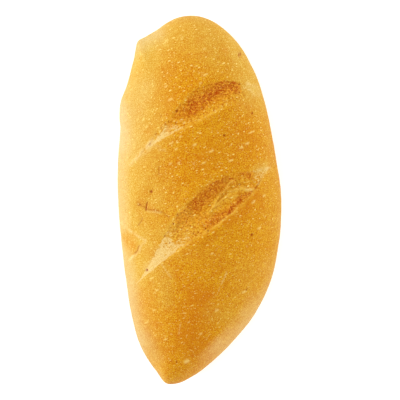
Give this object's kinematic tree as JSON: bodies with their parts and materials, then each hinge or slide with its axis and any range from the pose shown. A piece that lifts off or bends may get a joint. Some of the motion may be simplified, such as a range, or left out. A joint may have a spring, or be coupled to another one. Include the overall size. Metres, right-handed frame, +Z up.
{
  "type": "rustic italian loaf",
  "caption": "Uncut oblong loaf of crusty white bread with a flat base, a domed golden crust, a blunt end, a tapered end and slanted slashes torn open across its crown.",
  "frame": {"origin": "middle of the loaf's box, on the plane that the flat base rests on", "axes": "+Z up through the crown, +Y along the loaf towards its blunt end, +X to the right when looking down with the blunt end away"},
  "size_m": [0.134, 0.3002, 0.0805],
  "materials": {
    "crust": "dry golden-brown bread crust, satin to matte, paler on the left flank and in the slash ends"
  },
  "bodies": {
    "root": {"loaf": "crust"}
  },
  "joints": []
}
